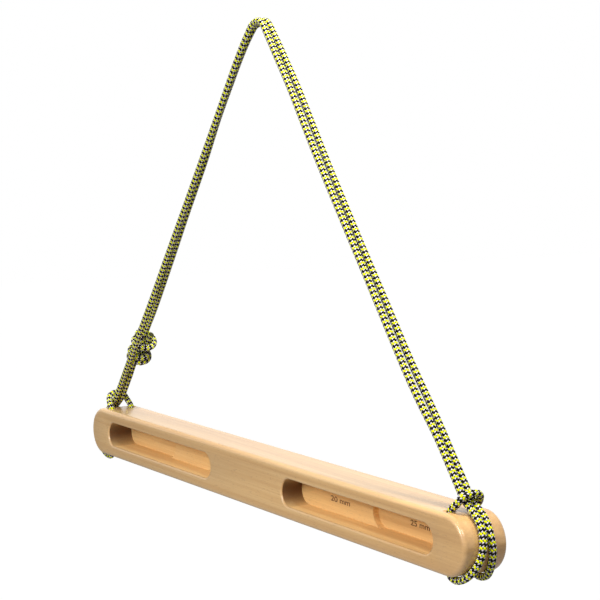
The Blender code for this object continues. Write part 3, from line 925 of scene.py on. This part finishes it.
def hole_tool(end, side):
    """A drill with a flared mouth at both ends."""
    x, y = end * HOLE_X, side * HOLE_Y
    shoulder = BAR_TOP - HOLE_CHAMFER
    flare = HOLE_CHAMFER + CUT_MARGIN
    widen = (HOLE_RADIUS + flare) / HOLE_RADIUS
    bpy.ops.mesh.primitive_cylinder_add(
        vertices=HOLE_SIDES, radius=HOLE_RADIUS, depth=2 * shoulder, location=(x, y, 0),
    )
    tool = bpy.context.active_object
    bpy.ops.object.transform_apply()
    for way in (1, -1):
        open_edit(tool, "FACE")
        pick_faces(tool, lambda middle, normal: normal.z * way > 0.9)
        bpy.ops.mesh.extrude_region_move(TRANSFORM_OT_translate={"value": (0, 0, way * flare)})
        mouth = (x, y, way * (shoulder + flare))
        bpy.ops.transform.resize(value=(widen, widen, 1), center_override=mouth)
        close_edit()
    return tool


for end in (RIGHT, LEFT):
    for side in (FRONT, BACK):
        carve(bar, hole_tool(end, side))
print("bar after drilling:", len(bar.data.vertices), "points")

# %% The finger slots
SLOT_SEGMENTS = 20
# Each cut: from x, to the slot's outer end; where it starts and how deep it goes
SLOT_CUTS = (
    (POCKET_INNER_X, -CUT_MARGIN, SHALLOW_DEPTH),
    (STEP_X, SHALLOW_DEPTH / 2, DEEP_DEPTH),
)

for side in (RIGHT, LEFT):
    for inner, start, depth in SLOT_CUTS:
        left, right = sorted((side * inner, side * POCKET_OUTER_X))
        front, back = FRONT_Y + start, FRONT_Y + depth
        carve(bar, slot_block("slot_tool", left, right, POCKET_HEIGHT / 2, front, back, SLOT_SEGMENTS))
print("bar after milling:", len(bar.data.vertices), "points")

# %% [markdown]
# ## Sanded edges
# Fingers press on the rims of the slots, so they are rounded well. The step between the
# two depths only loses its sharpness. The cuts have left hundreds of edges, so the right
# ones are found by how deep in the bar they lie and how sharp they are.

# %% Round the rims and the steps
RIM_ROUND = 0.0016
STEP_ROUND = 0.0004
NEAR = 1e-4


def at_depth(a, b, depth):
    """Whether both ends of an edge lie at one depth behind the bar's front."""
    return max(abs(a.y - FRONT_Y - depth), abs(b.y - FRONT_Y - depth)) < LEVEL


def on_rim(a, b, angle):
    in_height = max(abs(a.z), abs(b.z)) < POCKET_HEIGHT / 2 + NEAR
    in_length = max(abs(a.x), abs(b.x)) < POCKET_OUTER_X + NEAR
    return angle > SHARP_DEGREES and in_height and in_length and at_depth(a, b, 0.0)


def on_step(a, b, angle):
    nearest, farthest = min(abs(a.x), abs(b.x)), max(abs(a.x), abs(b.x))
    near_step = STEP_X - NEAR < nearest and farthest < STEP_X + POCKET_HEIGHT / 2 + NEAR
    return angle > SHARP_DEGREES and near_step and at_depth(a, b, SHALLOW_DEPTH)


round_edges(bar, RIM_ROUND, segments=4, wanted=on_rim)
round_edges(bar, STEP_ROUND, segments=2, wanted=on_step)

# %% Smooth shading and the bar's place
SMOOTH_DEGREES = 32

only(bar)
bpy.ops.object.shade_smooth_by_angle(angle=math.radians(SMOOTH_DEGREES))
bar.location = (0, 0, BAR_Z)
bpy.ops.object.transform_apply()
print("bar:", len(bar.data.polygons), "faces,", [round(size, 4) for size in bar.dimensions], "m")

# %% [markdown]
# ## The wood
# Beech is a pale, even, pinkish-tan wood. Along the grain it shows long soft streaks and
# many tiny dark flecks. A noise that is stretched along the bar gives both, and because it
# is a solid pattern the round ends show end grain by themselves. The outside is sanded and
# waxed. Inside the slots the wood is bare, and its colour is lightened as painted light for
# the light bounced round inside them. At each slot's left end the walls get painted shade.

# %% Wood colours
BEECH_SHADES = [
    (0.32, (0.46, 0.255, 0.095)), (0.50, (0.61, 0.37, 0.15)), (0.68, (0.71, 0.475, 0.22)),
]
GRAIN_LINE = (0.46, 0.25, 0.10)
FLECK = (0.34, 0.19, 0.09)
# Bare wood, lightened further as painted light: it stands for light bounced round inside the slots
BARE_WOOD_AND_PAINTED_LIGHT_TINT = (1.38, 1.46, 1.46)
# Painted shade: the dark brown that darkens the slots' left walls, where shade falls
PAINTED_WALL_SHADE = (0.085, 0.028, 0.006)

# %% The grain
# How often a pattern changes in a metre along the bar, through it and up it
STREAKS = (3.0, 110.0, 230.0)
BROAD_BANDS = (1.6, 18.0, 22.0)
FINE_GRAIN = (18.0, 700.0, 900.0)
FLECKS = (260.0, 1500.0, 1900.0)
STREAK_SHARE = 0.55
GRAIN_SHARE = 0.35
GRAIN_CONTRAST = 1.6
GRAIN_LEVEL = 0.35
FLECK_SHARE = 0.45
FLECK_START = 0.64
FLECK_CONTRAST = 12.0


def stretched_noise(finish, place, scale, detail):
    """Noise that is drawn out along the grain."""
    scaled = finish.node("ShaderNodeMapping", None, {"Vector": place, "Scale": scale})
    return finish.noise(scaled, scale=1.0, detail=detail, roughness=0.55)


def grain_colour(finish, place, streaks, fine_grain):
    broad_bands = stretched_noise(finish, place, BROAD_BANDS, detail=2.0)
    flecks = stretched_noise(finish, place, FLECKS, detail=1.0)
    shade = streaks * STREAK_SHARE + broad_bands * (1 - STREAK_SHARE)
    colour = finish.node("ShaderNodeValToRGB", {"stops": BEECH_SHADES}, [shade])
    lines = ((fine_grain - 0.5) * GRAIN_CONTRAST + GRAIN_LEVEL).clamped()
    colour = finish.mix(lines * GRAIN_SHARE, colour, GRAIN_LINE)
    is_fleck = ((flecks - FLECK_START) * FLECK_CONTRAST).clamped()
    return finish.mix(is_fleck * FLECK_SHARE, colour, FLECK)


# %% The slots' bare wood, with painted light and painted shade
# How far the painted shade reaches from a slot's left wall, and how strong it is
WALL_SHADE_REACH = 0.6 * POCKET_HEIGHT
WALL_SHADE_SHARE = 0.95


def slot_masks(finish, place):
    """1 inside the slots, and the strength of the painted shade on their left walls."""
    x, y, z = [finish.axis(place, index) for index in range(3)]
    from_middle, from_centre = x.math("ABSOLUTE"), (z - BAR_Z).math("ABSOLUTE")
    in_slot = (y > FRONT_Y + RIM_ROUND) * (y < FRONT_Y + DEEP_DEPTH + MM)
    in_slot = in_slot * (from_centre < POCKET_HEIGHT / 2 + NEAR)
    in_slot = in_slot * (from_middle > POCKET_INNER_X - NEAR) * (from_middle < POCKET_OUTER_X + NEAR)
    from_end = (x + POCKET_OUTER_X).math("MINIMUM", (x - POCKET_INNER_X).math("ABSOLUTE"))
    # The left slot's left end is in its deep half, and the right slot's in its shallow one
    wall_depth = (x < 0.0) * (DEEP_DEPTH - SHALLOW_DEPTH) + SHALLOW_DEPTH
    on_wall = y < wall_depth + (FRONT_Y - NEAR)
    return in_slot, in_slot * on_wall * (1 - from_end / WALL_SHADE_REACH).clamped()


# %% Wood material
def make_beech_finish():
    finish = Finish("beech_finish")
    place = finish.object_place()
    streaks = stretched_noise(finish, place, STREAKS, detail=4.0)
    fine_grain = stretched_noise(finish, place, FINE_GRAIN, detail=2.0)
    in_slot, painted_wall_shade = slot_masks(finish, place)
    colour = grain_colour(finish, place, streaks, fine_grain)
    # Inside the slots: bare wood, lightened as painted light
    colour = finish.mix(in_slot, colour, BARE_WOOD_AND_PAINTED_LIGHT_TINT, "MULTIPLY")
    # Painted shade on the slots' left walls
    colour = finish.mix(painted_wall_shade * WALL_SHADE_SHARE, colour, PAINTED_WALL_SHADE)
    roughness = 0.55 + (fine_grain - 0.5) * 0.2
    finish.surface(Base_Color=colour, Roughness=roughness, Specular_IOR_Level=0.4)
    finish.surface(Coat_Weight=1 - in_slot, Coat_Roughness=0.22)
    relief = fine_grain + streaks * 0.4
    finish.surface(Normal=finish.bump(relief, strength=0.12, distance=0.0003))
    return finish.done()


beech_material = make_beech_finish()
bar.data.materials.append(beech_material)
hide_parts("bar")
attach(bar, "bar")

# %% [markdown]
# ## Depth marks
# Each half of the right slot has its depth burnt into its floor: 20 mm and 25 mm. A mask in
# the wood's colours could show it, but text turned into a thin mesh is simple and sharp.

# %% Burnt wood
CHAR = (0.075, 0.026, 0.007)
SINGED = (0.20, 0.080, 0.026)


def make_burnt_finish():
    finish = Finish("burnt_wood_finish")
    patches = finish.noise(finish.object_place(), scale=900.0, detail=3.0)
    finish.surface(Base_Color=finish.mix(patches, CHAR, SINGED), Roughness=0.75)
    return finish.done()


burnt_material = make_burnt_finish()

# %% The two marks
MARK_HEIGHT = 0.0043
MARK_THICKNESS = 0.00012
STROKE_WIDENING = 0.012
MARK_MERGE_DISTANCE = 1e-7


def depth_mark(name, words, left, right, bottom, depth):
    """Words as a thin mesh on a slot's floor, with its bottom given from the bar's centre."""
    bpy.ops.object.text_add(location=(0, 0, 0))
    text = bpy.context.active_object.data
    text.body = words
    text.extrude = 0.5
    text.offset = STROKE_WIDENING
    bpy.ops.object.convert(target="MESH")
    mark = bpy.context.active_object
    mark.name = name
    corners = np.array([vertex.co for vertex in mark.data.vertices])
    low, high = corners.min(0), corners.max(0)
    across = (right - left) / (high[0] - low[0])
    up = MARK_HEIGHT / (high[1] - low[1])
    for vertex in mark.data.vertices:
        x, y, z = vertex.co
        vertex.co = (
            left + (x - low[0]) * across,
            FRONT_Y + depth - z * MARK_THICKNESS,
            BAR_Z + bottom + (y - low[1]) * up,
        )
    open_edit(mark)
    bpy.ops.mesh.select_all(action="SELECT")
    bpy.ops.mesh.remove_doubles(threshold=MARK_MERGE_DISTANCE)
    bpy.ops.mesh.normals_make_consistent(inside=False)
    close_edit()
    mark.data.materials.append(burnt_material)
    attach(mark, "bar")
    print(name, "is", round((right - left) / MM, 1), "mm wide")


depth_mark("depth_mark_20", "20 mm", left=0.1022, right=0.1293, bottom=-0.0022, depth=SHALLOW_DEPTH)
depth_mark("depth_mark_25", "25 mm", left=0.2026, right=0.2264, bottom=-0.0031, depth=DEEP_DEPTH)

# %% [markdown]
# ## The floor
# The board hangs well above a plain pale floor. The camera sees the floor mostly as white
# light, and faintly as a lit surface, so it looks white and still takes a soft shadow.

# %% Floor
FLOOR_Z = -0.80
FLOOR_SIZE = 14.0
FLOOR_GREY = (0.45, 0.45, 0.45)
FLOOR_GLOW = 1.1
GLOW_SHARE = 0.9
WHITE = (1.0, 1.0, 1.0)


def make_floor_finish():
    finish = Finish("floor_finish")
    finish.surface(Base_Color=FLOOR_GREY, Roughness=0.9)
    seen = finish.node("ShaderNodeLightPath", None, (), "Is Camera Ray")
    glow = finish.node("ShaderNodeEmission", None, {"Color": WHITE, "Strength": FLOOR_GLOW})
    plain = Socket(finish, finish.shader.outputs[0])
    blended = finish.node("ShaderNodeMixShader", None, [seen * GLOW_SHARE, plain, glow])
    finish.put(finish.tree.nodes["Material Output"].inputs["Surface"], blended)
    return finish.done()


bpy.ops.mesh.primitive_plane_add(size=FLOOR_SIZE, location=(0, 0, FLOOR_Z))
floor = bpy.context.active_object
floor.name = "floor"
floor.data.materials.append(make_floor_finish())
print("the floor is", round(BAR_Z - BAR_HEIGHT / 2 - FLOOR_Z, 3), "m below the bar")

# %% [markdown]
# ## The lamps
# A small lamp nearly overhead lights the bar's top and throws the right leg's soft shadow
# along it. The wax would mirror it as a hard spot, so it isn't seen in reflections. A larger
# lamp at the front right lights the front and reaches into the slots, and a third, from the
# camera's side, brightens the far leg.

# %% Lamps
BAR_MIDDLE = (0.0, 0.0, BAR_Z)
FAR_LEG_MIDDLE = (-0.15, 0.0, -0.20)


def soft_light(name, place, aim, size, power):
    """A square area light that faces a point."""
    data = bpy.data.lights.new(name, "AREA")
    data.shape = "SQUARE"
    data.size = size
    data.energy = power
    light = bpy.data.objects.new(name, data)
    scene.collection.objects.link(light)
    light.location = place
    light.rotation_mode = "QUATERNION"
    light.rotation_quaternion = (Vector(aim) - Vector(place)).to_track_quat("-Z", "Y")
    print(name, power, "W at", place)
    return light


top_light = soft_light("top_light", (0.36, 0.08, 0.90), BAR_MIDDLE, size=0.22, power=22.0)
top_light.visible_glossy = False
soft_light("front_light", (0.32, -1.12, 0.24), BAR_MIDDLE, size=0.5, power=12.0)
soft_light("leg_light", (1.10, -0.45, 0.70), FAR_LEG_MIDDLE, size=0.4, power=7.8)

# %% [markdown]
# ## The world
# The world adds a weak even glow. The camera and the reflections see it as plain white
# instead, so the background is white and the wax has something pale to mirror.

# %% World
WORLD_GLOW = 0.15

world = bpy.data.worlds.new("studio")
scene.world = world
world.use_nodes = True
sky = Graph(world.node_tree)
sky.tree.nodes.remove(sky.tree.nodes["Background"])
glow = sky.node("ShaderNodeBackground", None, {"Color": WHITE, "Strength": WORLD_GLOW})
backdrop = sky.node("ShaderNodeBackground", None, {"Color": WHITE, "Strength": 1.0})
to_camera = sky.node("ShaderNodeLightPath", None, (), "Is Camera Ray")
to_gloss = sky.node("ShaderNodeLightPath", None, (), "Is Glossy Ray")
chosen = sky.node("ShaderNodeMixShader", None, [to_camera.math("MAXIMUM", to_gloss), glow, backdrop])
sky.put(sky.tree.nodes["World Output"].inputs["Surface"], chosen)
scene.view_settings.view_transform = "Standard"
print("the world glows at", WORLD_GLOW)
